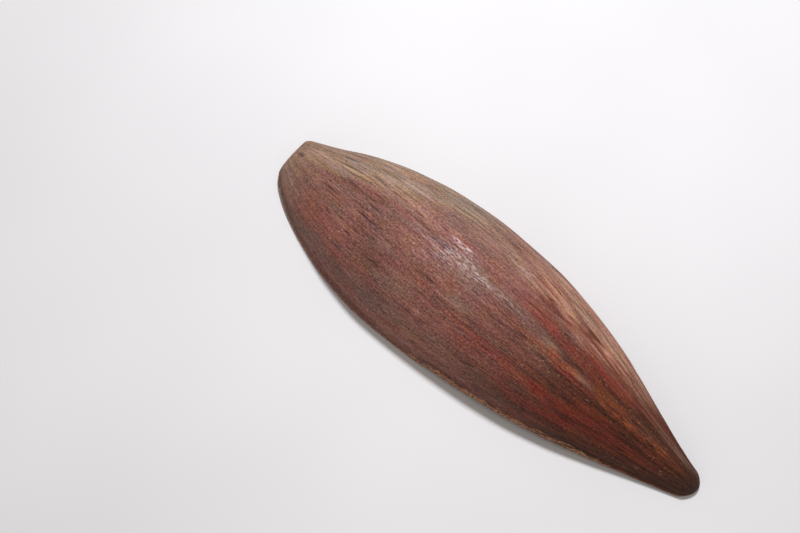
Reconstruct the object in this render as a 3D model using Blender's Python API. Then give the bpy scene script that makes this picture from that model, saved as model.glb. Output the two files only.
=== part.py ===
"""One canoe-shaped half of a woody seed pod, lying open side down.

The stalk scar is at -X, the pointed tip at +X and the rounded keel on top. The half grew as one piece, so
it is one solid: a wall of even thickness, solid at the scar and the tip, with the dents that the packed seeds
pressed into the inside of the wall. It stands on the low stretches of its rim and on its tip.
"""

import math

import bmesh
import bpy

# Driving dimensions, in metres.
LENGTH = 0.155  # from the stalk scar to the tip
FULL_SIDE = 0.0283  # from the keel line to the rim on the fuller side, -Y
LEAN_SIDE = 0.0234  # the same on the leaner side, +Y
KEEL_HEIGHT = 0.0245  # from the rim's lowest stretch to the top of the keel
WALL = 0.0020
RIM_LIFT = 0.0012  # the most that the rim bows up between its low stretches
TIP_RADIUS = 0.0036
SCAR_SOLID = 0.0050  # solid wood behind the scar
TIP_SOLID = 0.0045
SCAR_HOLLOW = 0.0007  # how far the middle of the scar sinks in
SEED_DENT = 0.0006
RIB_HEIGHT = 0.00022

# The pod's growth from scar to tip. Each row gives the share of LENGTH from the scar, then the shares of
# FULL_SIDE, LEAN_SIDE and KEEL_HEIGHT there, and the shares of RIM_LIFT on the full and the lean side.
STATIONS = (
    (0.000, 0.375, 0.110, 0.225, 1.2, 1.2),
    (0.010, 0.440, 0.140, 0.292, 1.2, 1.2),
    (0.032, 0.535, 0.200, 0.393, 1.0, 1.0),
    (0.084, 0.690, 0.350, 0.575, 0.5, 0.5),
    (0.155, 0.830, 0.595, 0.775, 0.0, 0.0),
    (0.232, 0.930, 0.785, 0.910, 0.0, 0.0),
    (0.323, 0.980, 0.930, 0.985, 0.0, 0.0),
    (0.426, 0.955, 1.000, 1.000, 0.0, 0.0),
    (0.529, 0.892, 0.985, 0.957, 0.6, 0.4),
    (0.632, 0.802, 0.885, 0.845, 1.0, 0.8),
    (0.723, 0.684, 0.745, 0.698, 0.9, 0.9),
    (0.813, 0.524, 0.545, 0.526, 0.6, 0.5),
    (0.903, 0.345, 0.330, 0.353, 0.2, 0.1),
    (0.961, 0.230, 0.200, 0.241, 0.0, 0.0),
    (1.000, 0.147, 0.130, 0.172, 0.0, 0.0),
)

RIM_TURN = math.radians(78)  # how far the wall has turned down from the keel when it reaches the rim
KEEL_BLEND = 0.25  # over this share of the half width the fuller side passes into the leaner one
SCAR_RAMP = 0.009  # over this length the hollow deepens behind the scar
TIP_RAMP = 0.014
END_WIDTH = 0.3  # the hollow's width where it starts, as a share of the room between the walls
THIN_INSIDE = 0.6  # the least width of the inside, as a share of the outside's
SCAR_DISH = 0.7  # the dish's width, as a share of the scar's
END_CROWDING = 0.5  # how much closer together the cross-sections stand at the ends

STEPS_ALONG = 96
STEPS_OUTSIDE = 16
STEPS_INSIDE = 32
SEEDS_ALONG = 32
SEED_ROWS = 16
SEEDS_START = 0.05  # share of the length where the dents begin, and where they have died out
SEEDS_END = 0.86
SEED_FADE = 0.07
SEED_MARGIN = 0.2  # share of each side where the dents run out towards the rim

# The ribs as two waves across the outside. Each has its number of waves from rim to rim, the waves by which
# it drifts along the length, and its share of RIB_HEIGHT.
RIBS = (
    (2.9, 0.2, 1.0),
    (4.9, -0.6, 0.6),
)
RIB_ENDS = 0.1  # share of the length over which the ribs rise at either end


def clamp(value):
    return min(1.0, max(0.0, value))


def grown(column, share):
    """A column of STATIONS at this share of the length, on a smooth curve with no overshoot."""
    i = max(k for k in range(len(STATIONS) - 1) if STATIONS[k][0] <= share or k == 0)

    def slope(k):
        if k < 1 or k > len(STATIONS) - 2:
            return None
        before, here, after = (STATIONS[k + d] for d in (-1, 0, 1))
        rise = (here[column] - before[column]) / (here[0] - before[0])
        fall = (after[column] - here[column]) / (after[0] - here[0])
        return 0.0 if rise * fall <= 0 else 2 * rise * fall / (rise + fall)

    (x0, y0), (x1, y1) = ((STATIONS[k][0], STATIONS[k][column]) for k in (i, i + 1))
    chord = (y1 - y0) / (x1 - x0)
    start, end = (chord if slope(k) is None else slope(k) for k in (i, i + 1))
    t = (share - x0) / (x1 - x0)
    gap = x1 - x0
    return (
        y0 * (1 + 2 * t) * (1 - t) ** 2
        + start * gap * t * (1 - t) ** 2
        + y1 * t * t * (3 - 2 * t)
        - end * gap * t * t * (1 - t)
    )


def round_end(distance, radius):
    """0 at an end, 1 from one radius in, on a quarter circle."""
    return math.sqrt(1 - (1 - clamp(distance / radius)) ** 2)


def section(share):
    """Half widths, keel height and rim lifts of the outside at this share of the length."""
    closing = round_end((1 - share) * LENGTH, TIP_RADIUS)
    return {
        "full": FULL_SIDE * grown(1, share) * closing,
        "lean": LEAN_SIDE * grown(2, share) * closing,
        "keel": KEEL_HEIGHT * grown(3, share) * closing,
        "full_lift": RIM_LIFT * grown(4, share),
        "lean_lift": RIM_LIFT * grown(5, share),
    }


def rounded(value):
    """The size of a value from -1 to 1, with the corner at 0 rounded off."""
    return (math.hypot(value, KEEL_BLEND) - KEEL_BLEND) / (math.hypot(1, KEEL_BLEND) - KEEL_BLEND)


def arch(full, lean, lifts, height, sweep, swelling):
    """A point of a cross-section. Sweep is -1 at the full side's rim, 0 at the keel, 1 at the lean rim."""
    turn = sweep * RIM_TURN
    out = math.sin(turn) / math.sin(RIM_TURN)
    side = (full + lean) / 2 * out - (full - lean) / 2 * rounded(out)
    rise = (math.cos(turn) - math.cos(RIM_TURN)) / (1 - math.cos(RIM_TURN))
    base = lifts[0] + (lifts[1] - lifts[0]) * (sweep + 1) / 2
    reach = math.hypot(side, height * rise) or 1.0
    return side * (1 + swelling / reach), base + (height - base) * rise * (1 + swelling / reach)


def ribs(share, sweep):
    """Low ribs that run the length of the outside and die out at the rim and the ends."""
    height = 0.0
    for waves, drift, part in RIBS:
        height += part * math.cos(2 * math.pi * (waves * sweep / 2 + drift * share))
    return RIB_HEIGHT * height * (1 - sweep**4) * clamp(share / RIB_ENDS) * clamp((1 - share) / RIB_ENDS)


def seed_dents(lattice, share, sweep):
    """How far the packed seeds pressed the wall out: staggered rows of shallow pockets, ridges between."""
    across = (sweep + 1) / 2 * SEED_ROWS
    row = min(int(across), SEED_ROWS - 1)
    along = lattice * SEEDS_ALONG + 0.5 * (row % 2)
    pocket = math.sin(math.pi * (across - row)) * (0.5 - 0.5 * math.cos(2 * math.pi * along))
    fade = clamp((share - SEEDS_START) / SEED_FADE) * clamp((SEEDS_END - share) / (2 * SEED_FADE))
    return SEED_DENT * pocket * fade * clamp((1 - abs(sweep)) / SEED_MARGIN)


def outside_point(share, sweep):
    s = section(share)
    lifts = (s["full_lift"], s["lean_lift"])
    return arch(s["full"], s["lean"], lifts, s["keel"], sweep, ribs(share, sweep))


def inside_point(lattice, share, sweep):
    s = section(share)
    lifts = (s["full_lift"], s["lean_lift"])
    from_scar, from_tip = share * LENGTH - SCAR_SOLID, (1 - share) * LENGTH - TIP_SOLID
    opening = round_end(from_scar, SCAR_RAMP) * round_end(from_tip, TIP_RAMP)
    width = END_WIDTH + (1 - END_WIDTH) * opening
    full, lean = (max(s[side] - WALL, THIN_INSIDE * s[side]) * width for side in ("full", "lean"))
    base = lifts[0] + (lifts[1] - lifts[0]) * (sweep + 1) / 2
    height = base + max(s["keel"] - WALL - base, 0.0) * opening
    swelling = seed_dents(lattice, share, sweep) if opening > 0 else 0.0
    return arch(full, lean, lifts, height, sweep, swelling)


def share_at(lattice):
    """Where a cross-section stands: they crowd together towards both ends."""
    return lattice - END_CROWDING * math.sin(2 * math.pi * lattice) / (2 * math.pi)


def skin_point(lattice, step):
    """The point at this step round a closed cross-section: over the outside, across a rim, back inside."""
    share = share_at(lattice)
    if step <= STEPS_OUTSIDE:
        y, z = outside_point(share, 2 * step / STEPS_OUTSIDE - 1)
    else:
        y, z = inside_point(lattice, share, 1 - 2 * (step - STEPS_OUTSIDE - 1) / STEPS_INSIDE)
    return share * LENGTH, y, z


def close_scar(bm):
    """Fills the open stalk end with a shallow dish."""
    rim = [edge for edge in bm.edges if edge.is_boundary]
    rolled = bmesh.ops.extrude_edge_only(bm, edges=rim)["geom"]
    inner = [item for item in rolled if isinstance(item, bmesh.types.BMVert)]
    middle = [sum(pick(v.co[k] for v in inner) for pick in (min, max)) / 2 for k in (1, 2)]
    for vert in inner:
        vert.co.x += SCAR_HOLLOW
        vert.co.y = middle[0] + (vert.co.y - middle[0]) * SCAR_DISH
        vert.co.z = middle[1] + (vert.co.z - middle[1]) * SCAR_DISH
    edges = [item for item in rolled if isinstance(item, bmesh.types.BMEdge) and item.is_boundary]
    face = bmesh.ops.contextual_create(bm, geom=edges)["faces"]
    bmesh.ops.poke(bm, faces=face)


def make_pod():
    """Rolls a flat grid into a tube of closed cross-sections, gathers it at the tip and closes the scar."""
    round_steps = STEPS_OUTSIDE + STEPS_INSIDE + 2
    bm = bmesh.new()
    bmesh.ops.create_grid(bm, x_segments=STEPS_ALONG, y_segments=round_steps, size=0.5)
    for vert in bm.verts:
        lattice = round((vert.co.x + 0.5) * STEPS_ALONG) / STEPS_ALONG
        step = round((vert.co.y + 0.5) * round_steps) % round_steps
        vert.co = skin_point(lattice, step)
    bmesh.ops.remove_doubles(bm, verts=bm.verts, dist=0.00001)
    close_scar(bm)
    bmesh.ops.recalc_face_normals(bm, faces=bm.faces)
    middle = [(min(v.co[k] for v in bm.verts) + max(v.co[k] for v in bm.verts)) / 2 for k in (0, 1)]
    bmesh.ops.translate(bm, verts=bm.verts, vec=(-middle[0], -middle[1], 0.0))

    mesh = bpy.data.meshes.new("pod_shell")
    bm.to_mesh(mesh)
    bm.free()
    mesh.shade_smooth()
    mesh.set_sharp_from_angle(angle=math.radians(50))
    pod = bpy.data.objects.new("pod_shell", mesh)
    bpy.context.scene.collection.objects.link(pod)
    return pod


def husk_material():
    """Dry fibrous husk: dull dark red-brown."""
    material = bpy.data.materials.new("dry_husk")
    material.use_nodes = True
    shader = material.node_tree.nodes["Principled BSDF"]
    shader.inputs["Base Color"].default_value = (0.105, 0.045, 0.032, 1.0)
    shader.inputs["Roughness"].default_value = 0.6
    shader.inputs["Metallic"].default_value = 0.0
    return material


def main():
    for old in list(bpy.data.objects):
        bpy.data.objects.remove(old)
    pod = make_pod()
    pod.data.materials.append(husk_material())


main()
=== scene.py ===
"""A dried canoe-shaped seed pod half, lying open side down on a pale studio table."""

import math
import random

import bmesh
import bpy
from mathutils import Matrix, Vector, noise


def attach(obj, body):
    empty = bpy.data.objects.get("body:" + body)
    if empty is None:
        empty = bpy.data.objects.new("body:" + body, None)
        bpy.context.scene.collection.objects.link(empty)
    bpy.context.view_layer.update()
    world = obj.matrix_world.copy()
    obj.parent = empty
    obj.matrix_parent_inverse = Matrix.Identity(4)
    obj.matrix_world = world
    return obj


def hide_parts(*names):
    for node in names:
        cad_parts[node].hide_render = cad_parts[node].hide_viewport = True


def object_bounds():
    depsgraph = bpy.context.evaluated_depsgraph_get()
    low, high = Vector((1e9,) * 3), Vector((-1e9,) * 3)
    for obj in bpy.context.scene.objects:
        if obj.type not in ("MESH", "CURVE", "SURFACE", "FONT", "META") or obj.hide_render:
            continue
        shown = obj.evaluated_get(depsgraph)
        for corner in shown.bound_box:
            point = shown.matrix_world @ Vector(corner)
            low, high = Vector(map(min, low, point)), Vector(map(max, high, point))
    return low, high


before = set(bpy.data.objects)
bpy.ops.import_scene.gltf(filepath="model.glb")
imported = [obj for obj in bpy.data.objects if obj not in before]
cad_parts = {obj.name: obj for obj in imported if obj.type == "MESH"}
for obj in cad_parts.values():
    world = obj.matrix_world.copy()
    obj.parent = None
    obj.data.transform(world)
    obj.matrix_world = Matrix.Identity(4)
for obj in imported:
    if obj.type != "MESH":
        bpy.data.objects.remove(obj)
solid_box = [[float(c) for c in corner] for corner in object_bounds()]

# The pod's own measures, in metres, as it grew.
LENGTH = 0.155
FULL_SIDE = 0.0283
LEAN_SIDE = 0.0234
KEEL_HEIGHT = 0.0245
WALL = 0.0020
RIM_LIFT = 0.0012
TIP_RADIUS = 0.0036
SCAR_SOLID = 0.0050
TIP_SOLID = 0.0045
SCAR_HOLLOW = 0.0007
SEED_DENT = 0.0006
RIB_HEIGHT = 0.00022
HALF_GIRTH = 0.0325  # from the keel to a rim along the wall, at the widest place

# Growth from scar to tip: share of the length, then shares of the full side, of the lean side and of the
# keel height, and how far the rim bows up on the full and the lean side.
STATIONS = (
    (0.000, 0.375, 0.110, 0.225, 1.2, 1.2),
    (0.010, 0.440, 0.140, 0.292, 1.2, 1.2),
    (0.032, 0.535, 0.200, 0.393, 1.0, 1.0),
    (0.084, 0.690, 0.350, 0.575, 0.5, 0.5),
    (0.155, 0.830, 0.595, 0.775, 0.0, 0.0),
    (0.232, 0.930, 0.785, 0.910, 0.0, 0.0),
    (0.323, 0.980, 0.930, 0.985, 0.0, 0.0),
    (0.426, 0.955, 1.000, 1.000, 0.0, 0.0),
    (0.529, 0.892, 0.985, 0.957, 0.6, 0.4),
    (0.632, 0.802, 0.885, 0.845, 1.0, 0.8),
    (0.723, 0.684, 0.745, 0.698, 0.9, 0.9),
    (0.813, 0.524, 0.545, 0.526, 0.6, 0.5),
    (0.903, 0.345, 0.330, 0.353, 0.2, 0.1),
    (0.961, 0.230, 0.200, 0.241, 0.0, 0.0),
    (1.000, 0.147, 0.130, 0.172, 0.0, 0.0),
)
RIM_TURN = math.radians(78)  # how far a cross-section turns from the keel to a rim
KEEL_BLEND = 0.25  # how softly the full side passes into the lean one
SCAR_RAMP = 0.009  # how far the hollow takes to open up, from the scar and from the tip
TIP_RAMP = 0.014
END_WIDTH = 0.3  # the hollow's width where it is shut, as a share of its full one
THIN_INSIDE = 0.6  # the least width of the hollow, as a share of the outside
END_CROWDING = 0.5  # how much closer together the cross-sections stand at both ends
SEEDS_ALONG = 32
SEED_ROWS = 16
RIBS = ((2.9, 0.2, 1.0), (4.9, -0.6, 0.6))  # waves round the girth, drift along the pod, part of the height
SIDE_SHIFT = 0.0021662  # the solid is centred on its box, and the pod grows on both sides of its keel

# How finely the skin is laid out, and its parts in their order round a cross-section.
STEPS_ALONG = 330
STEPS_OUTSIDE = 140
STEPS_RIM = 5
STEPS_INSIDE = 100
SKIN_PARTS = (
    ("husk", STEPS_OUTSIDE),
    ("lean rim", STEPS_RIM),
    ("lining", STEPS_INSIDE),
    ("full rim", STEPS_RIM),
)
MERGE_DISTANCE = 0.000008

# The pod's material slots.
HUSK, LINING, RIM, SCAR = range(4)

# Relief of the dry husk, in metres.
BUNDLE = (0.040, 0.0026, 0.00013)  # fibre bundles: length, width, height
STRAND = (0.017, 0.0011, 0.00006)
SWELL = (0.030, 0.0110, 0.00022)  # slow unevenness of the wall
GROOVE_GAP = 0.0040
GROOVE_DEPTH = 0.00034
CRACK_DEPTH = 0.00022
CRACK_WIDTH = 0.00036
SMALL_CRACKS = 46

# Beside the stalk end: a small beak, the wall sunk in, a crease and a pit, in metres.
BEAK_HEIGHT = 0.0003
SUNK_DEPTH = 0.0007
STALK_CREASE = 0.0003
PIT_DEPTH = 0.0006

# The lining and the split rim, in metres.
LINING_STREAK = 0.00004
LINING_CREASE = 0.00012
RIM_CORNER = 0.00022
RIM_GRAIN = 0.00007
RIM_CHIP = 0.00065
RIM_SOFTENING = 0.0009  # width of the husk that bends over to the rim's own edge
RIM_REACH = 5.0  # how far from a rim the husk's material still knows of it, in millimetres

# The stalk scar's rings, from its edge in: size as a share of the outline, depth as a share of the deepest.
SCAR_RINGS = (
    (0.95, 0.1),
    (0.89, 0.3),
    (0.80, 0.7),
    (0.70, 1.0),
    (0.58, 0.9),
    (0.45, 1.0),
    (0.32, 0.8),
    (0.17, 1.0),
)
SCAR_GRAIN = 0.00030
CLEFT_DEPTH = 0.0009
CLEFT_REACH = 0.0008
CLEFT_SIDE = 0.0006  # how far the cleft lies from the scar's middle
SCAR_TILE = 0.01  # how much of the scar one tile of its map covers

# What each point of the skin tells its material.
HUSK_TONES = (
    "hollow", "worn", "ridged", "groove", "red", "shade", "pale", "ochre", "wax_and_glint", "from_rim", "from_chips",
)
TONES = (*HUSK_TONES, "crease")

# The photograph's view, fitted to the pod's outline: metres, millimetres and degrees.
EYE = (0.11068, -0.15048, 0.41345)
LENS = 70.0
SENSOR = 36.0
TILT = 26  # from straight down
TURN = 44
TABLE_HALF = 2.0

# Where the husk's tones change: share, sweep, reach along, reach across, strength.
RED_PLACES = (
    (0.450, 0.010, 0.085, 0.080, 1.0),
    (0.270, -0.070, 0.110, 0.090, 0.5),
    (0.150, -0.640, 0.150, 0.200, 0.6),
    (0.450, -0.430, 0.080, 0.120, 0.6),
    (0.460, -0.780, 0.170, 0.130, 0.4),
    (0.560, -0.500, 0.110, 0.160, 0.9),
    (0.690, -0.640, 0.110, 0.180, 0.9),
    (0.660, 0.030, 0.160, 0.120, 0.9),
    (0.800, -0.480, 0.130, 0.240, 0.8),
    (0.770, 0.170, 0.130, 0.160, 1.0),
    (0.720, -0.205, 0.060, 0.075, 1.0),
    (0.680, -0.490, 0.040, 0.070, 1.0),
    (0.620, 0.220, 0.070, 0.100, 0.9),
    (0.660, 0.460, 0.060, 0.120, 0.7),
    (0.900, -0.400, 0.060, 0.220, 0.6),
)
SHADE_PLACES = (
    (0.050, -0.420, 0.060, 0.220, 0.8),
    (0.130, -0.195, 0.110, 0.070, 0.7),
    (0.240, -0.250, 0.090, 0.090, 0.7),
    (0.330, -0.240, 0.060, 0.080, 0.5),
    (0.250, -0.350, 0.050, 0.100, 0.5),
    (0.760, 0.260, 0.050, 0.110, 0.5),
    (0.800, -0.550, 0.100, 0.120, 0.5),
    (0.820, 0.260, 0.090, 0.170, 0.8),
    (0.700, -0.250, 0.050, 0.080, 0.9),
    (0.705, -0.500, 0.060, 0.110, 0.8),
    (0.850, -0.280, 0.100, 0.270, 0.7),
    (0.965, -0.350, 0.080, 0.550, 0.8),
)
PALE_PLACES = (
    (0.085, -0.055, 0.090, 0.130, 1.0),
    (0.215, -0.020, 0.090, 0.090, 0.9),
    (0.270, 0.250, 0.050, 0.090, 0.6),
    (0.315, 0.000, 0.060, 0.120, 0.5),
    (0.475, 0.330, 0.060, 0.080, 0.8),
    (0.475, -0.350, 0.060, 0.090, 0.5),
    (0.460, -0.760, 0.160, 0.130, 0.3),
    (0.045, -0.150, 0.035, 0.080, 1.0),
    (0.650, 0.450, 0.050, 0.100, 0.4),
    (0.930, 0.300, 0.070, 0.200, 0.6),
    (0.545, 0.240, 0.050, 0.090, 0.7),
    (0.580, 0.540, 0.090, 0.150, 0.9),
    (0.680, 0.500, 0.090, 0.160, 0.9),
    (0.685, 0.170, 0.040, 0.080, 0.6),
    (0.790, 0.540, 0.100, 0.150, 0.9),
    (0.655, -0.110, 0.035, 0.055, 0.7),
    (0.725, -0.130, 0.040, 0.060, 0.6),
)
OCHRE_PLACES = (
    (0.160, -0.340, 0.040, 0.080, 0.6),
    (0.445, -0.300, 0.030, 0.060, 0.7),
    (0.600, -0.200, 0.040, 0.070, 0.7),
    (0.665, -0.140, 0.050, 0.060, 1.0),
    (0.710, -0.165, 0.050, 0.070, 1.0),
    (0.800, -0.170, 0.060, 0.090, 0.9),
    (0.860, -0.150, 0.060, 0.100, 1.0),
    (0.920, -0.120, 0.060, 0.160, 0.9),
    (0.660, -0.420, 0.070, 0.060, 0.5),
)
# Waxy places: a glossy coat, and a painted glint mixed into their colour.
WAX_AND_GLINT_PLACES = (
    (0.405, -0.165, 0.040, 0.060, 0.8),
    (0.400, -0.090, 0.050, 0.085, 1.0),
    (0.425, 0.005, 0.050, 0.035, 1.0),
    (0.450, -0.085, 0.060, 0.100, 1.0),
    (0.500, -0.090, 0.050, 0.045, 0.9),
    (0.560, -0.080, 0.050, 0.040, 0.6),
    (0.340, -0.110, 0.060, 0.040, 0.5),
    (0.260, 0.200, 0.045, 0.050, 0.8),
    (0.520, 0.270, 0.050, 0.060, 0.6),
    (0.150, 0.060, 0.060, 0.060, 0.5),
)


def clamp(value):
    return min(1.0, max(0.0, value))


def ease(value, start, end):
    """0 before start, 1 after end, smooth between; start may be past end."""
    t = clamp((value - start) / (end - start))
    return t * t * (3 - 2 * t)


# ---- the pod's outline ----


def grown(column, share):
    """A column of STATIONS at this share of the length, on a smooth curve with no overshoot."""
    i = max(k for k in range(len(STATIONS) - 1) if STATIONS[k][0] <= share or k == 0)

    def slope(k):
        if k < 1 or k > len(STATIONS) - 2:
            return None
        before, here, after = (STATIONS[k + d] for d in (-1, 0, 1))
        rise = (here[column] - before[column]) / (here[0] - before[0])
        fall = (after[column] - here[column]) / (after[0] - here[0])
        return 0.0 if rise * fall <= 0 else 2 * rise * fall / (rise + fall)

    (x0, y0), (x1, y1) = ((STATIONS[k][0], STATIONS[k][column]) for k in (i, i + 1))
    gap = x1 - x0
    chord = (y1 - y0) / gap
    start, end = (chord if slope(k) is None else slope(k) for k in (i, i + 1))
    t = (share - x0) / gap
    return (
        y0 * (1 + 2 * t) * (1 - t) ** 2
        + start * gap * t * (1 - t) ** 2
        + y1 * t * t * (3 - 2 * t)
        - end * gap * t * t * (1 - t)
    )


def round_end(distance, radius):
    """0 at an end, 1 from one radius in, on a quarter circle."""
    return math.sqrt(1 - (1 - clamp(distance / radius)) ** 2)


class Section:
    """One cross-section of the pod: the arches of its outside and inside."""

    def __init__(self, lattice):
        self.lattice = lattice
        self.share = share = lattice - END_CROWDING * math.sin(2 * math.pi * lattice) / (2 * math.pi)
        self.closing = round_end((1 - share) * LENGTH, TIP_RADIUS)
        self.full = FULL_SIDE * grown(1, share) * self.closing
        self.lean = LEAN_SIDE * grown(2, share) * self.closing
        self.keel = KEEL_HEIGHT * grown(3, share) * self.closing
        self.squeeze = (self.full + self.lean) / (FULL_SIDE + LEAN_SIDE)
        self.lifts = (RIM_LIFT * grown(4, share), RIM_LIFT * grown(5, share))
        from_scar, from_tip = share * LENGTH - SCAR_SOLID, (1 - share) * LENGTH - TIP_SOLID
        self.opening = round_end(from_scar, SCAR_RAMP) * round_end(from_tip, TIP_RAMP)
        width = END_WIDTH + (1 - END_WIDTH) * self.opening
        self.full_in = max(self.full - WALL, THIN_INSIDE * self.full) * width
        self.lean_in = max(self.lean - WALL, THIN_INSIDE * self.lean) * width

    def base(self, sweep):
        return self.lifts[0] + (self.lifts[1] - self.lifts[0]) * (sweep + 1) / 2

    def outside(self, sweep, swelling):
        return arch(self.full, self.lean, self.base(sweep), self.keel, sweep, swelling)

    def inside(self, sweep, swelling):
        base = self.base(sweep)
        height = base + max(self.keel - WALL - base, 0.0) * self.opening
        return arch(self.full_in, self.lean_in, base, height, sweep, swelling if self.opening > 0 else 0.0)


def rounded(value):
    """The size of a value from -1 to 1, with the corner at 0 rounded off."""
    return (math.hypot(value, KEEL_BLEND) - KEEL_BLEND) / (math.hypot(1, KEEL_BLEND) - KEEL_BLEND)


def arch(full, lean, base, height, sweep, swelling):
    """A point of a cross-section. Sweep runs from -1 at the full side's rim, over the keel, to 1 at the lean
    side's."""
    turn = sweep * RIM_TURN
    out = math.sin(turn) / math.sin(RIM_TURN)
    side = (full + lean) / 2 * out - (full - lean) / 2 * rounded(out)
    rise = (math.cos(turn) - math.cos(RIM_TURN)) / (1 - math.cos(RIM_TURN))
    reach = math.hypot(side, height * rise) or 1.0
    return side * (1 + swelling / reach), base + (height - base) * rise * (1 + swelling / reach)


# ---- relief of the husk and of the lining ----


def grain(share, sweep, length, width, seed):
    """Noise from -1 to 1 that is drawn out along the fibres, which close up towards both ends."""
    return noise.noise(Vector((share * LENGTH / length, sweep * HALF_GIRTH / width, seed)))


def ribs(share, sweep):
    height = 0.0
    for waves, drift, part in RIBS:
        height += part * math.cos(2 * math.pi * (waves * sweep / 2 + drift * share))
    return RIB_HEIGHT * height * (1 - sweep**4) * clamp(share / 0.1) * clamp((1 - share) / 0.1)


def tip_groove(share, sweep):
    """The lean flank between the pod's middle and the tip has broad ridges with narrow, wandering grooves
    between them. Gives how much of that flank lies here, and how deep in a groove."""
    border = 0.02 + 0.1 * grain(share, sweep, 0.02, 0.004, 8.0)
    window = ease(share, 0.47, 0.62) * ease(share, 0.99, 0.90) * ease(sweep, border, 0.24)
    if window == 0:
        return 0.0, 0.0
    wave = grain(share, sweep + 0.06 * share, 0.060, GROOVE_GAP, 4.4)
    return window, window * clamp(1 - abs(wave) / 0.15)


def crack_list():
    """Dry cracks along the fibres: share and sweep of the middle, length in metres, drift of the sweep."""
    seen = [
        (0.625, 0.185, 0.024, 0.13),
        (0.120, -0.030, 0.020, 0.02),
        (0.330, -0.060, 0.018, 0.00),
        (0.560, -0.100, 0.016, 0.01),
        (0.600, 0.060, 0.014, 0.02),
        (0.450, 0.330, 0.014, 0.02),
        (0.520, -0.930, 0.020, 0.00),
        (0.240, -0.300, 0.010, 0.00),
        (0.300, -0.520, 0.009, 0.01),
        (0.215, -0.160, 0.012, 0.01),
    ]
    rng = random.Random(11)
    for _ in range(SMALL_CRACKS):
        share = rng.uniform(0.06, 0.93)
        seen.append((share, rng.uniform(-0.94, 0.94), rng.uniform(0.003, 0.011), rng.uniform(-0.015, 0.015)))
    return seen


CRACKS = crack_list()


def cracks(share, sweep, squeeze):
    """How deep this place lies in a crack, 0 to 1. Squeeze is the girth here as a share of the widest."""
    deepest = 0.0
    for middle, across, length, drift in CRACKS:
        along = (share - middle) * LENGTH / (length / 2)
        if abs(along) >= 1:
            continue
        off = abs(sweep - across - drift * along) * HALF_GIRTH * squeeze
        deepest = max(deepest, clamp(1 - off / CRACK_WIDTH) * (1 - along * along))
    return deepest


def bump(value, middle, reach):
    """A smooth hump, 1 at its middle and 0 one reach away."""
    return max(0.0, 1 - ((value - middle) / reach) ** 2) ** 2


def scar_shape(share, sweep):
    """The small beak over the stalk scar, the wall sunk in beside it, and a crease that runs out from it.
    Gives the height in metres, and how deep in the pit beside the scar this place lies."""
    beak = BEAK_HEIGHT * bump(share, 0.010, 0.026) * bump(sweep, 0.03, 0.22)
    sunk = SUNK_DEPTH * bump(share, 0.060, 0.052) * bump(sweep, 0.30, 0.34)
    crease = STALK_CREASE * bump(share, 0.085, 0.055) * bump(sweep, -0.01 + 0.1 * (share - 0.085), 0.03)
    pit = 0.7 * bump(share, 0.022 + 0.05 * (sweep + 0.26), 0.014) * bump(sweep, -0.26, 0.07)
    return beak - sunk - crease - PIT_DEPTH * pit, pit


def husk_relief(section, sweep):
    """How far the husk stands out or lies in here, in metres, and how deeply it is cracked or pitted."""
    share = section.share
    ends = clamp(share / 0.02) * clamp((1 - share) / 0.05)
    at_scar, pit = scar_shape(share, sweep)
    _, groove = tip_groove(share, sweep)
    height = ribs(share, sweep) - GROOVE_DEPTH * groove + at_scar
    for seed, (length, width, size) in enumerate((BUNDLE, STRAND, SWELL)):
        height += size * (grain(share, sweep, length, width, 1.7 + seed) - 0.35) * ends
    crack = cracks(share, sweep, section.squeeze)
    return height - CRACK_DEPTH * crack, max(crack, pit)


def patches(share, sweep, places):
    """How much of a patch lies here, 0 to 1. Each place is share, sweep, reach in both, and strength."""
    return clamp(sum(f * bump(share, a, c) * bump(sweep, b, d) for a, b, c, d, f in places))


def chip_width(share, sweep):
    """How far in from the rim the skin has chipped off, in millimetres. The full side has lost most."""
    return 0.5 + (1.6 * ease(share, 0.38, 0.52) * ease(share, 0.92, 0.76) if sweep < 0 else 0.2)


def husk_tones(section, sweep):
    """Where the husk is sun-worn, ridged, red, dark, paler, rubbed to ochre and waxy with a painted glint,
    and how far it is from the rim, in millimetres and in widths of the chipped edge."""
    share = section.share
    border = min(-0.40 + 1.65 * share, 0.14 + 0.12 * share) + 0.10 * grain(share, sweep, 0.02, 0.005, 21.0)
    worn = ease(sweep, border - 0.09, border + 0.13)
    worn *= 0.25 + 0.75 * ease(share, 0.50, 0.32)
    worn *= ease(share, 0.68, 0.52)
    worn = max(worn, 0.8 * ease(share, 0.10, 0.01) * ease(sweep, -1.0, -0.6))
    ridged, groove = tip_groove(share, sweep)
    red = patches(share, sweep, RED_PLACES)
    from_rim = (1 - abs(sweep)) * HALF_GIRTH * section.squeeze * 1000
    return {
        "worn": worn,
        "ridged": ridged * ease(share, 0.91, 0.72) * ease(sweep, 0.04, 0.26) * (1 - 0.4 * red),
        "groove": groove,
        "red": red,
        "shade": patches(share, sweep, SHADE_PLACES),
        "pale": patches(share, sweep, PALE_PLACES),
        "ochre": patches(share, sweep, OCHRE_PLACES),
        "wax_and_glint": patches(share, sweep, WAX_AND_GLINT_PLACES),
        "from_rim": min(RIM_REACH, from_rim),
        "from_chips": min(RIM_REACH, from_rim / chip_width(share, sweep)),
    }


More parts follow.
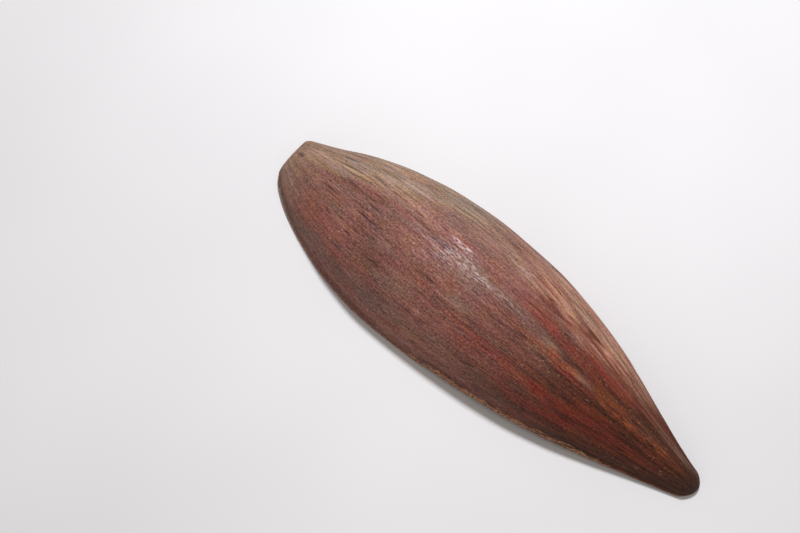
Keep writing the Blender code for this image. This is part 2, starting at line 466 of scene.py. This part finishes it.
def seed_print(section, sweep):
    """How deep a seed has pressed the lining here, 0 to 1: rows of scallops, arched towards the rims."""
    share = section.share
    rows_out = abs(sweep) * SEED_ROWS / 2
    for row in range(int(rows_out) - 1, int(rows_out) + 2):
        along = section.lattice * SEEDS_ALONG + 0.5 * (row % 2)
        along += 0.13 * grain(share, sweep, 0.02, 0.004, 5.5)
        off = 2 * (along - math.floor(along)) - 1
        ledge = row + 1.0 - 0.62 * off * off
        if rows_out < ledge:
            depth = ease(ledge - rows_out, 0.0, 0.26) * clamp(1 - (ledge - rows_out) / 1.5) ** 0.8
            break
    fade = ease(share, 0.05, 0.12) * ease(share, 0.84, 0.66) * ease(abs(sweep), 0.97, 0.84)
    fade *= 0.75 + 0.35 * grain(share, sweep, 0.02, 0.008, 6.5)
    return depth * clamp(fade)


def lining_crease(share, sweep):
    """The thin brown crease down the lining's middle, 0 to 1. It shows near both ends and fades between."""
    middle = 0.012 * math.sin(share * 40)
    return ease(abs(sweep - middle), 0.045, 0.012) * max(ease(share, 0.72, 0.88), ease(share, 0.15, 0.06))


def rim_nick(share, side):
    """How far the rim's outer edge has broken away, in metres. The full side is chipped past the middle."""
    torn = noise.noise(Vector((share * LENGTH / 0.0016, side * 5, 9.3)))
    coarse = noise.noise(Vector((share * LENGTH / 0.006, side * 5, 2.3)))
    window = ease(share, 0.40, 0.50) * ease(share, 0.90, 0.76) if side < 0 else 0.35
    return RIM_CHIP * window * clamp(1.6 * coarse + 0.9 * torn)


# ---- the pod's mesh ----


def rim_point(section, side, t):
    """A point on the rim's split face: t runs from 0 at the outer edge to 1 at the inner one."""
    outer, inner = section.outside(side, 0.0)[0], section.inside(side, 0.0)[0]
    y = outer + (inner - outer) * t
    corner = RIM_CORNER * (1 - math.sin(math.pi * t)) ** 3
    split = RIM_GRAIN * (1 + noise.noise(Vector((section.share * LENGTH / 0.0012, y / 0.0004, 3.0))))
    nick = rim_nick(section.share, side) * (1 - t)
    return y, section.base(side) + (corner + split) * section.closing + nick * section.closing


def skin_part(step):
    """Which part of the skin this step round a cross-section is on, with that part's first step and how many
    it has."""
    start = 0
    for part, steps in SKIN_PARTS:
        if step < start + steps:
            break
        start += steps
    return part, start, steps


def skin_point(section, step):
    """The point at this step round a cross-section, and its tones: how deeply it is cracked or dented, and
    the husk's own."""
    part, start, steps = skin_part(step)
    t = (step - start) / steps
    if part == "husk":
        sweep = 2 * t - 1
        relief, crack = husk_relief(section, sweep)
        y, z = section.outside(sweep, relief * ease(abs(sweep), 1.0, 0.93))
        near_rim = clamp(1 - (1 - abs(sweep)) * HALF_GIRTH / RIM_SOFTENING)
        side = 1 if sweep > 0 else -1
        nick = rim_nick(section.share, side)
        z += nick * near_rim * section.closing
        if near_rim > 0:
            z += (rim_point(section, side, 0.0)[1] - section.base(side) - nick) * near_rim**2 * 0.9
        return (y, z), {"hollow": crack, **husk_tones(section, sweep)}
    if part == "lining":
        sweep = 1 - 2 * t
        dent = seed_print(section, sweep)
        streak = LINING_STREAK * grain(section.share, sweep, 0.02, 0.0011, 7.7) * ease(abs(sweep), 1.0, 0.9)
        crease = lining_crease(section.share, sweep)
        y, z = section.inside(sweep, SEED_DENT * 0.95 * dent + streak + LINING_CREASE * crease)
        return (y, z), {"hollow": dent, "crease": crease}
    side, t = (1, t) if part == "lean rim" else (-1, 1 - t)
    return rim_point(section, side, t), {}


def close_scar(bm, uv):
    """Closes the stalk end with a sunken, rough scar in rings, split by a cleft near its middle."""
    edges = [edge for edge in bm.edges if edge.is_boundary]
    outline = {vert for edge in edges for vert in edge.verts}
    middle = [(min(v.co[k] for v in outline) + max(v.co[k] for v in outline)) / 2 for k in (1, 2)]
    last = 1.0
    made = []
    for size, depth in SCAR_RINGS:
        rolled = bmesh.ops.extrude_edge_only(bm, edges=edges)["geom"]
        ring = [item for item in rolled if isinstance(item, bmesh.types.BMVert)]
        made += [item for item in rolled if isinstance(item, bmesh.types.BMFace)]
        for vert in ring:
            vert.co.y = middle[0] + (vert.co.y - middle[0]) * size / last
            vert.co.z = middle[1] + (vert.co.z - middle[1]) * size / last
            lump = noise.noise(Vector((vert.co.y, vert.co.z, 0.0)) / 0.0012)
            lump += 0.6 * noise.noise(Vector((vert.co.y, vert.co.z, 0.01)) / 0.0005)
            cleft = clamp(1 - abs(vert.co.y - middle[0] - CLEFT_SIDE) / CLEFT_REACH)
            vert.co.x = SCAR_HOLLOW * depth + SCAR_GRAIN * (lump + 0.8) * depth + CLEFT_DEPTH * cleft * depth
        edges = [item for item in rolled if isinstance(item, bmesh.types.BMEdge) and item.is_boundary]
        last = size
    cap = bmesh.ops.contextual_create(bm, geom=edges)["faces"]
    made += bmesh.ops.poke(bm, faces=cap)["faces"]
    for face in made:
        face.material_index = SCAR
        for loop in face.loops:
            loop[uv].uv = (loop.vert.co.y / SCAR_TILE, loop.vert.co.z / SCAR_TILE)


def finish_here(part, section):
    """Which of the pod's materials is here. At both closed ends the split wood runs right across."""
    if part == "husk":
        return HUSK
    if section.opening > 0:
        return LINING if part == "lining" else RIM
    return SCAR if section.share < 0.5 else RIM


def grow_pod(materials):
    """Rolls a flat grid into the pod's skin, cross-section by cross-section, and closes the scar."""
    around = STEPS_OUTSIDE + STEPS_INSIDE + 2 * STEPS_RIM
    sections = [Section(i / STEPS_ALONG) for i in range(STEPS_ALONG + 1)]
    bm = bmesh.new()
    bmesh.ops.create_grid(bm, x_segments=STEPS_ALONG, y_segments=around, size=0.5)
    uv = bm.loops.layers.uv.new("grain")
    tones = {name: bm.verts.layers.float.new(name) for name in TONES}
    places = {}
    for vert in bm.verts:
        i, step = round((vert.co.x + 0.5) * STEPS_ALONG), round((vert.co.y + 0.5) * around)
        places[vert] = (i, step)
    for face in bm.faces:
        corners = [places[vert] for vert in face.verts]
        part, start, steps = skin_part(min(step for _, step in corners))
        section = min((sections[i] for i, _ in corners), key=lambda s: s.opening)
        face.material_index = finish_here(part, section)
        for loop in face.loops:
            i, at = places[loop.vert]
            across = (at - start) / steps
            loop[uv].uv = (sections[i].share, 1 - across if part == "full rim" else across)
    for vert, (i, step) in places.items():
        section = sections[i]
        (y, z), here = skin_point(section, step % around)
        vert.co = (section.share * LENGTH, y, z)
        for name, value in here.items():
            vert[tones[name]] = value
    bmesh.ops.remove_doubles(bm, verts=bm.verts, dist=MERGE_DISTANCE)
    close_scar(bm, uv)
    bmesh.ops.recalc_face_normals(bm, faces=bm.faces)
    for face in bm.faces:
        face.smooth = True

    mesh = bpy.data.meshes.new("pod_husk")
    bm.to_mesh(mesh)
    bm.free()
    for material in materials:
        mesh.materials.append(material)
    pod = bpy.data.objects.new("pod_husk", mesh)
    bpy.context.scene.collection.objects.link(pod)
    return pod


def seat_in_box(pod, box):
    """Centres the pod as the solid is centred and trims the relief's last hair to the solid's own box."""
    low, high = (Vector(corner) for corner in box)
    shift = Vector((low.x, SIDE_SHIFT, 0.0))
    for vert in pod.data.vertices:
        place = vert.co + shift
        vert.co = [min(max(place[k], low[k]), high[k]) for k in range(3)]
    pod.data.update()


# ---- materials ----


def linear(code):
    """An sRGB hex colour as linear red, green, blue and alpha."""
    parts = [int(code[i : i + 2], 16) / 255 for i in (1, 3, 5)]
    return tuple(c / 12.92 if c <= 0.04045 else ((c + 0.055) / 1.055) ** 2.4 for c in parts) + (1.0,)


def add(tree, kind, inputs, stops=(), **settings):
    """Adds a node with its settings and links, and gives its first output in use. An input takes a link, a
    number or a hex colour, and the stops are a colour ramp's places and tones. Inputs go by name or number:
    Mix has its factor at 0 and its colours at 6 and 7, and MapRange has its value at 0, the span that it
    comes from at 1 and 2, and the one that it goes to at 3 and 4."""
    node = tree.nodes.new("ShaderNode" + kind)
    for name, value in settings.items():
        setattr(node, name, value)
    for name, value in inputs.items():
        if isinstance(value, bpy.types.NodeSocket):
            tree.links.new(value, node.inputs[name])
        else:
            node.inputs[name].default_value = linear(value) if isinstance(value, str) else value
    for i, (place, tone) in enumerate(stops):
        stop = node.color_ramp.elements[i] if i < 2 else node.color_ramp.elements.new(place)
        stop.position = place
        stop.color = linear(tone) if isinstance(tone, str) else (tone, tone, tone, 1.0)
    return next(output for output in node.outputs if not output.is_unavailable)


def new_material(name, roughness):
    material = bpy.data.materials.new(name)
    material.use_nodes = True
    shader = material.node_tree.nodes["Principled BSDF"]
    shader.inputs["Roughness"].default_value = roughness
    return material, material.node_tree, shader


def along_fibres(tree, grain_map, length, width, detail, seed):
    """Noise drawn out along the pod's fibres: the size of its grains in metres at the widest place."""
    scale = (LENGTH / length, 2 * HALF_GIRTH / width, 1.0)
    shift = (seed, seed * 0.37, seed)
    place = add(tree, "Mapping", {"Vector": grain_map, "Location": shift, "Scale": scale})
    return add(tree, "TexNoise", {"Vector": place, "Scale": 1.0, "Detail": detail, "Roughness": 0.6})


def dry_husk():
    """The pod's own outer wall, wood fibre dried in the sun. Its fibres lie side by side from end to end, so
    the eye sees frayed streaks of grey-brown and dull red, black hair cracks with painted shade in them, and
    a broken silvery shine where the old waxy film is still on, partly real gloss and partly a painted glint."""
    material, tree, shader = new_material("sun_dried_husk", 0.5)
    shader.inputs["Specular IOR Level"].default_value = 0.25
    shader.inputs["Coat Roughness"].default_value = 0.21
    straight = add(tree, "UVMap", {}, uv_map="grain")
    share = add(tree, "SeparateXYZ", {0: straight})
    scale = (LENGTH / 0.016, 2 * HALF_GIRTH / 0.010, 1.0)
    wander = add(tree, "Mapping", {"Vector": straight, "Scale": scale})
    wander = add(tree, "TexNoise", {"Vector": wander, "Scale": 1.0, "Detail": 3.0}).node.outputs["Color"]
    wander = add(tree, "VectorMath", {0: wander, 1: (0.0, 0.020, 0.0)}, operation="MULTIPLY")
    grain_map = add(tree, "VectorMath", {0: straight, 1: wander}, operation="ADD")

    # Patches 8 mm across, bands about 3 mm, strands 0.8 mm and fibres 0.4 mm. Real fibres are about 0.1 mm,
    # too fine for the render, so the finest drawn is about as wide as one dot of it.
    broad = along_fibres(tree, grain_map, 0.026, 0.0080, 4.0, 1.0)
    bands = along_fibres(tree, grain_map, 0.016, 0.0028, 3.0, 6.0)
    greyer = along_fibres(tree, grain_map, 0.016, 0.0044, 3.0, 15.0)
    strands = along_fibres(tree, grain_map, 0.0130, 0.0008, 4.0, 2.0)
    fibres = along_fibres(tree, grain_map, 0.0026, 0.00040, 3.0, 3.0)
    crumbs = along_fibres(tree, grain_map, 0.0007, 0.0005, 2.0, 14.0)
    hair = along_fibres(tree, grain_map, 0.0075, 0.00045, 2.0, 5.0)
    hair = add(tree, "MapRange", {0: hair, 1: 0.63, 2: 0.71})
    masks = {}
    for name in HUSK_TONES:
        masks[name] = add(tree, "Attribute", {}, attribute_name=name).node.outputs["Fac"]

    # Dark brown, red-brown and dusty bands, dull grey where the skin has weathered, redder where it hasn't.
    mottle = add(tree, "Math", {0: broad, 1: bands}, operation="ADD")
    mottle = add(tree, "Math", {0: mottle, 1: 0.5}, operation="MULTIPLY")
    browns = [(0.41, "#714a41"), (0.47, "#86544c"), (0.53, "#925b52"), (0.60, "#a36f65")]
    tone = add(tree, "ValToRGB", {0: mottle}, stops=browns)
    grey = add(tree, "MapRange", {0: greyer, 1: 0.48, 2: 0.60, 4: 0.65})
    tone = add(tree, "Mix", {0: grey, 6: tone, 7: "#84655b"}, data_type="RGBA")
    broken = add(tree, "MapRange", {0: bands, 1: 0.38, 2: 0.56, 3: 0.2, 4: 1.0})
    red = add(tree, "Math", {0: masks["red"], 1: broken}, operation="MULTIPLY")
    tone = add(tree, "Mix", {0: red, 6: tone, 7: "#983e34"}, data_type="RGBA")

    # Towards the tip the skin is darker and redder.
    darker = add(tree, "MapRange", {0: share, 1: 0.46, 2: 0.80, 4: 0.95}, interpolation_type="SMOOTHSTEP")
    browns = [(0.38, "#381606"), (0.47, "#491d09"), (0.55, "#61280f"), (0.64, "#733716")]
    tip_tone = add(tree, "ValToRGB", {0: bands}, stops=browns)
    grey = add(tree, "MapRange", {0: greyer, 1: 0.52, 2: 0.62, 4: 0.5})
    tip_tone = add(tree, "Mix", {0: grey, 6: tip_tone, 7: "#4e3326"}, data_type="RGBA")
    olive = add(tree, "MapRange", {0: share, 1: 0.88, 2: 0.98, 4: 0.7})
    tip_tone = add(tree, "Mix", {0: olive, 6: tip_tone, 7: "#3c2214"}, data_type="RGBA")
    tip_red = add(tree, "Math", {0: red, 1: 0.85}, operation="MULTIPLY")
    tip_tone = add(tree, "Mix", {0: tip_red, 6: tip_tone, 7: "#8c241a"}, data_type="RGBA")
    tone = add(tree, "Mix", {0: darker, 6: tone, 7: tip_tone}, data_type="RGBA")

    # The lean flank lay to the sun and is worn grey-tan. Past the middle it has pinkish tan ridges with red
    # between, and the grooves are darkened, partly their own red and partly painted shade.
    broken = add(tree, "MapRange", {0: bands, 1: 0.36, 2: 0.54, 3: 0.45})
    worn = add(tree, "Math", {0: masks["worn"], 1: broken}, operation="MULTIPLY")
    worn_tone = add(tree, "ValToRGB", {0: greyer}, stops=[(0.42, "#a2866e"), (0.58, "#8d7c6b")])
    tone = add(tree, "Mix", {0: worn, 6: tone, 7: worn_tone}, data_type="RGBA")
    streak = add(tree, "ValToRGB", {0: strands}, stops=[(0.38, 0.68), (0.50, 0.97), (0.64, 1.36)])
    fading = {0: share, 1: 0.03, 2: 0.17, 3: 1.0, 4: 0.0}
    stalk_end = add(tree, "MapRange", fading, interpolation_type="SMOOTHSTEP")
    calm = add(tree, "MapRange", {0: stalk_end, 3: 1.0, 4: 0.25})
    calm = add(tree, "Math", {0: masks["worn"], 1: calm}, operation="MULTIPLY")
    tone = add(tree, "Mix", {0: calm, 6: tone, 7: streak}, data_type="RGBA", blend_type="MULTIPLY")
    broken = along_fibres(tree, grain_map, 0.0115, 0.0015, 4.0, 17.0)
    tans = [(0.36, "#843a2c"), (0.46, "#a96955"), (0.58, "#c69881")]
    ridge_tone = add(tree, "ValToRGB", {0: broken}, stops=tans)
    ridged = add(tree, "MapRange", {0: greyer, 1: 0.36, 2: 0.52, 3: 0.45})
    ridged = add(tree, "Math", {0: masks["ridged"], 1: ridged}, operation="MULTIPLY")
    tone = add(tree, "Mix", {0: ridged, 6: tone, 7: ridge_tone}, data_type="RGBA")
    # The grooves turn dark red by their depth: partly their own colour, partly painted shade.
    groove = add(tree, "Math", {0: masks["groove"], 1: 0.9}, operation="MULTIPLY")
    tone = add(tree, "Mix", {0: groove, 6: tone, 7: "#5c1f15"}, data_type="RGBA")

    # Near the stalk the fibres close up under scurf: round grey-brown crumbs about 1.5 mm across.
    place = add(tree, "TexCoord", {}).node.outputs["Object"]
    scurf = add(tree, "TexNoise", {"Vector": place, "Scale": 640.0, "Detail": 4.0, "Roughness": 0.65})
    crusted = add(tree, "MapRange", {0: scurf, 1: 0.40, 2: 0.60, 3: 0.15, 4: 0.75})
    crusted = add(tree, "Math", {0: stalk_end, 1: crusted}, operation="MULTIPLY")
    tone = add(tree, "Mix", {0: crusted, 6: tone, 7: "#8a6b58"}, data_type="RGBA")
    scurf = add(tree, "ValToRGB", {0: scurf}, stops=[(0.36, 0.84), (0.50, 1.08), (0.64, 1.40)])
    tone = add(tree, "Mix", {0: stalk_end, 6: tone, 7: scurf}, data_type="RGBA", blend_type="MULTIPLY")

    # Patches darkened towards red-brown, others paler tan, and blotches of rubbed orange-brown beside the
    # keel.
    blotches = along_fibres(tree, grain_map, 0.0035, 0.0013, 4.0, 7.0)
    for mask, pattern, low, high, least, most, colour, blend in (
        ("shade", strands, 0.36, 0.60, 0.75, 0.35, "#ac8880", "MULTIPLY"),
        ("pale", strands, 0.40, 0.60, 0.20, 0.70, "#c6a58e", "MIX"),
        ("ochre", blotches, 0.42, 0.62, 0.0, 1.0, "#a6522d", "MIX"),
    ):
        broken = add(tree, "MapRange", {0: pattern, 1: low, 2: high, 3: least, 4: most})
        part = add(tree, "Math", {0: masks[mask], 1: broken}, operation="MULTIPLY")
        tone = add(tree, "Mix", {0: part, 6: tone, 7: colour}, data_type="RGBA", blend_type=blend)

    # Old waxy film: a glossy coat, and pale silvery streaks that are partly dried bloom and partly a painted
    # glint.
    broken = along_fibres(tree, grain_map, 0.0022, 0.0005, 3.0, 9.0)
    broken = add(tree, "MapRange", {0: broken, 1: 0.48, 2: 0.54})
    wax_and_glint = add(tree, "Math", {0: masks["wax_and_glint"], 1: broken}, operation="MULTIPLY")
    painted_glint = add(tree, "Math", {0: wax_and_glint, 1: 0.6}, operation="MULTIPLY")
    tone = add(tree, "Mix", {0: painted_glint, 6: tone, 7: "#d0b8b9"}, data_type="RGBA")
    tree.links.new(wax_and_glint, shader.inputs["Coat Weight"])

    # Flecks and streaks over everything: dark grooves take light away, and pale fibres are dusty tan. At the
    # tip there is least dust, and it is rust-coloured.
    dustiness = add(tree, "MapRange", {0: darker, 3: 1.0, 4: 0.35})
    dust = add(tree, "Mix", {0: darker, 6: "#c59c88", 7: "#c4865a"}, data_type="RGBA")
    for pattern, dark, pale in ((strands, 0.78, 0.10), (fibres, 0.78, 0.13), (crumbs, 0.64, 0.26)):
        streak = add(tree, "ValToRGB", {0: pattern}, stops=[(0.36, dark), (0.50, 1.0)])
        tone = add(tree, "Mix", {0: 1.0, 6: tone, 7: streak}, data_type="RGBA", blend_type="MULTIPLY")
        dusty = add(tree, "MapRange", {0: pattern, 1: 0.50, 2: 0.66, 4: pale})
        dusty = add(tree, "Math", {0: dusty, 1: dustiness}, operation="MULTIPLY")
        tone = add(tree, "Mix", {0: dusty, 6: tone, 7: dust}, data_type="RGBA")
    flecks = along_fibres(tree, grain_map, 0.0014, 0.0006, 2.0, 11.0)
    flecks = add(tree, "Math", {0: broad, 1: 0.5, 2: flecks}, operation="MULTIPLY_ADD")
    flecks = add(tree, "MapRange", {0: flecks, 1: 0.930, 2: 1.00, 4: 0.7})
    tone = add(tree, "Mix", {0: flecks, 6: tone, 7: "#d4ac90"}, data_type="RGBA")

    # Over all of it the hue drifts between olive and mauve, in bands about 2 mm wide.
    drift = along_fibres(tree, grain_map, 0.0080, 0.0022, 3.0, 19.0)
    tints = [(0.38, "#fffae9"), (0.50, "#fffefd"), (0.62, "#fcf6ff")]
    tint = add(tree, "ValToRGB", {0: drift}, stops=tints)
    tone = add(tree, "Mix", {0: 1.0, 6: tone, 7: tint}, data_type="RGBA", blend_type="MULTIPLY")

    # Hair cracks, the deeper cracks of the mesh and the pit beside the scar are painted nearly black inside:
    # painted shade in these hollows.
    deep = add(tree, "MapRange", {0: masks["hollow"], 1: 0.15, 2: 0.8, 4: 0.7})
    dark = add(tree, "Math", {0: hair, 1: 0.65}, operation="MULTIPLY")
    dark = add(tree, "Math", {0: dark, 1: deep}, operation="MAXIMUM")
    tone = add(tree, "Mix", {0: dark, 6: tone, 7: "#2a1410"}, data_type="RGBA")

    # Along the split rim the skin is bruised dark, and its very edge is bare tan fibre with dark chips.
    edge = add(tree, "Math", {0: masks["from_rim"], 1: 1 / RIM_REACH}, operation="MULTIPLY")
    bruise = add(tree, "ValToRGB", {0: edge}, stops=[(0.10, 0.0), (0.20, 0.55), (0.34, 0.35), (0.70, 0.0)])
    tone = add(tree, "Mix", {0: bruise, 6: tone, 7: "#41221b"}, data_type="RGBA")
    chips = along_fibres(tree, grain_map, 0.0030, 0.0013, 3.0, 13.0)
    bare = add(tree, "Math", {0: chips, 1: 2.4, 2: masks["from_chips"]}, operation="MULTIPLY_ADD")
    bare = add(tree, "MapRange", {0: bare, 1: 2.1, 2: 1.7})
    tans = [(0.38, "#4a281c"), (0.46, "#93644a"), (0.56, "#b28262"), (0.68, "#d2a688")]
    pits = add(tree, "ValToRGB", {0: crumbs}, stops=tans)
    tone = add(tree, "Mix", {0: bare, 6: tone, 7: pits}, data_type="RGBA")
    tree.links.new(tone, shader.inputs["Base Color"])

    # Fibre crests catch the light, the grooves between them stay dull, and the waxy places are the
    # smoothest.
    gloss = add(tree, "MapRange", {0: fibres, 1: 0.38, 2: 0.62, 3: 0.74, 4: 0.46})
    gloss = add(tree, "Math", {0: wax_and_glint, 1: -0.20, 2: gloss}, operation="MULTIPLY_ADD")
    tree.links.new(gloss, shader.inputs["Roughness"])
    height = add(tree, "Math", {0: bands, 1: 1.2}, operation="MULTIPLY")
    for pattern, part in ((strands, 0.8), (fibres, 0.38), (crumbs, 0.26), (hair, -0.25)):
        height = add(tree, "Math", {0: pattern, 1: part, 2: height}, operation="MULTIPLY_ADD")
    bump_map = add(tree, "Bump", {"Strength": 1.0, "Distance": 0.00034, "Height": height})
    tree.links.new(bump_map, shader.inputs["Normal"])
    return material


def satin_lining():
    """The smooth inner wall that lay against the seeds: hard, satin, yellow-orange wood. It gives broad soft
    highlights, with painted shade in the scalloped dents, deeper orange where they lie deepest, and fine
    streaks along the pod."""
    material, tree, shader = new_material("satin_seed_lining", 0.34)
    shader.inputs["Coat Weight"].default_value = 0.25
    shader.inputs["Coat Roughness"].default_value = 0.22
    grain_map = add(tree, "UVMap", {}, uv_map="grain")
    streaks = along_fibres(tree, grain_map, 0.012, 0.0012, 4.0, 1.0)
    clouds = along_fibres(tree, grain_map, 0.030, 0.0090, 3.0, 2.0)
    oranges = [(0.32, "#e39a40"), (0.50, "#eeb055"), (0.68, "#f4c06c")]
    tone = add(tree, "ValToRGB", {0: clouds}, stops=oranges)
    # Painted shade: the dents turn deeper orange the deeper they lie.
    dent = add(tree, "Attribute", {}, attribute_name="hollow").node.outputs["Fac"]
    deep = add(tree, "MapRange", {0: dent, 1: 0.25, 2: 0.95, 4: 0.75}, interpolation_type="SMOOTHSTEP")
    tone = add(tree, "Mix", {0: deep, 6: tone, 7: "#d27f30"}, data_type="RGBA")
    crease = add(tree, "Attribute", {}, attribute_name="crease").node.outputs["Fac"]
    broken = add(tree, "MapRange", {0: streaks, 1: 0.36, 2: 0.52, 3: 0.4, 4: 0.9})
    crease = add(tree, "Math", {0: crease, 1: broken}, operation="MULTIPLY")
    tone = add(tree, "Mix", {0: crease, 6: tone, 7: "#8f3f22"}, data_type="RGBA")
    streak = add(tree, "ValToRGB", {0: streaks}, stops=[(0.32, 0.80), (0.50, 1.0), (0.70, 1.12)])
    tone = add(tree, "Mix", {0: 1.0, 6: tone, 7: streak}, data_type="RGBA", blend_type="MULTIPLY")
    tree.links.new(tone, shader.inputs["Base Color"])
    gloss = add(tree, "MapRange", {0: streaks, 1: 0.3, 2: 0.7, 3: 0.44, 4: 0.28})
    tree.links.new(gloss, shader.inputs["Roughness"])
    bump_map = add(tree, "Bump", {"Strength": 0.5, "Distance": 0.00015, "Height": streaks})
    tree.links.new(bump_map, shader.inputs["Normal"])
    return material


def split_rim():
    """The wall's edge where the ripe pod split in two: torn wood, matt and dark red-brown under the skin,
    with paler fibre towards the lining."""
    material, tree, shader = new_material("split_rim_wood", 0.62)
    grain_map = add(tree, "UVMap", {}, uv_map="grain")
    across = add(tree, "SeparateXYZ", {0: grain_map}).node.outputs["Y"]
    place = add(tree, "TexCoord", {}).node.outputs["Object"]
    torn = add(tree, "TexNoise", {"Vector": place, "Scale": 1400.0, "Detail": 3.0})
    long_tone = add(tree, "TexNoise", {"Vector": place, "Scale": 120.0, "Detail": 3.0})
    browns = [(0.32, "#5f2f28"), (0.50, "#7a3d32"), (0.70, "#8f4c3a")]
    tone = add(tree, "ValToRGB", {0: long_tone}, stops=browns)
    layers = add(tree, "Math", {0: torn, 1: 0.5, 2: across}, operation="MULTIPLY_ADD")
    pale = add(tree, "MapRange", {0: layers, 1: 0.98, 2: 1.22, 4: 0.65})
    tone = add(tree, "Mix", {0: pale, 6: tone, 7: "#b57c58"}, data_type="RGBA")
    skin = add(tree, "MapRange", {0: layers, 1: 0.50, 2: 0.30, 4: 0.7})
    tone = add(tree, "Mix", {0: skin, 6: tone, 7: "#43201a"}, data_type="RGBA")
    streak = add(tree, "ValToRGB", {0: torn}, stops=[(0.30, 0.70), (0.50, 1.0), (0.70, 1.30)])
    tone = add(tree, "Mix", {0: 1.0, 6: tone, 7: streak}, data_type="RGBA", blend_type="MULTIPLY")
    tree.links.new(tone, shader.inputs["Base Color"])
    bump_map = add(tree, "Bump", {"Strength": 0.8, "Distance": 0.0002, "Height": torn})
    tree.links.new(bump_map, shader.inputs["Normal"])
    return material


def stalk_scar():
    """Where the stalk broke off: short torn fibre ends and pale corky grains, rough and reddish-brown."""
    material, tree, shader = new_material("broken_stalk_scar", 0.72)
    place = add(tree, "TexCoord", {}).node.outputs["Object"]
    torn = add(tree, "TexNoise", {"Vector": place, "Scale": 900.0, "Detail": 4.0})
    grains = add(tree, "TexNoise", {"Vector": place, "Scale": 2300.0, "Detail": 2.0})
    browns = [(0.32, "#4f251e"), (0.48, "#7d4134"), (0.66, "#a05e48")]
    tone = add(tree, "ValToRGB", {0: torn}, stops=browns)
    pale = add(tree, "MapRange", {0: grains, 1: 0.55, 2: 0.65, 4: 0.6})
    tone = add(tree, "Mix", {0: pale, 6: tone, 7: "#bd917a"}, data_type="RGBA")
    tree.links.new(tone, shader.inputs["Base Color"])
    bump_map = add(tree, "Bump", {"Strength": 0.9, "Distance": 0.0003, "Height": torn})
    tree.links.new(bump_map, shader.inputs["Normal"])
    return material


def matt_table():
    """A smooth white laminate tabletop, matt, with a faint unevenness."""
    material, tree, shader = new_material("matt_white_laminate", 0.55)
    place = add(tree, "TexCoord", {}).node.outputs["Object"]
    clouds = add(tree, "TexNoise", {"Vector": place, "Scale": 9.0, "Detail": 2.0})
    tone = add(tree, "ValToRGB", {0: clouds}, stops=[(0.30, "#dcdcde"), (0.70, "#e4e4e6")])
    tree.links.new(tone, shader.inputs["Base Color"])
    return material


# ---- the table, the light and the camera ----


def lay_table():
    bm = bmesh.new()
    bmesh.ops.create_grid(bm, x_segments=1, y_segments=1, size=TABLE_HALF)
    mesh = bpy.data.meshes.new("tabletop")
    bm.to_mesh(mesh)
    bm.free()
    mesh.materials.append(matt_table())
    table = bpy.data.objects.new("tabletop", mesh)
    bpy.context.scene.collection.objects.link(table)


def aim(thing, eye, target):
    thing.location = eye
    thing.rotation_euler = (Vector(target) - Vector(eye)).to_track_quat("-Z", "Y").to_euler()


def hang_light(name, eye, target, size, power, tone):
    lamp = bpy.data.lights.new(name, "AREA")
    lamp.shape = "DISK"
    lamp.size = size
    lamp.energy = power
    lamp.color = linear(tone)[:3]
    light = bpy.data.objects.new(name, lamp)
    aim(light, eye, target)
    bpy.context.scene.collection.objects.link(light)


def light_table():
    """A window beyond the pod, high up, so that the shadows fall towards the viewer, a white wall behind the
    viewer that sends a little of it back, and white room light."""
    hang_light("window", (-0.195, 0.300, 0.600), (0.0, 0.0, 0.0), 0.10, 4.1, "#fcfcff")
    hang_light("white wall", (0.10, -0.60, 0.35), (0.0, 0.0, 0.0), 0.50, 0.40, "#fff8f2")
    world = bpy.data.worlds.new("room")
    world.use_nodes = True
    world.node_tree.nodes["Background"].inputs["Color"].default_value = linear("#fff8f0")
    world.node_tree.nodes["Background"].inputs["Strength"].default_value = 0.33
    bpy.context.scene.world = world


def set_camera():
    """Looks down at the pod from over its full side, past its tip, with the camera level."""
    view = bpy.data.cameras.new("camera")
    view.lens = LENS
    view.sensor_width = SENSOR
    view.clip_start = 0.01
    camera = bpy.data.objects.new("camera", view)
    camera.location = EYE
    camera.rotation_euler = (math.radians(TILT), 0.0, math.radians(TURN))
    bpy.context.scene.collection.objects.link(camera)
    bpy.context.scene.camera = camera


pod = grow_pod([dry_husk(), satin_lining(), split_rim(), stalk_scar()])
seat_in_box(pod, solid_box)
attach(pod, "root")
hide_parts("pod_shell")
lay_table()
light_table()
set_camera()
bpy.context.scene.view_settings.view_transform = "Standard"
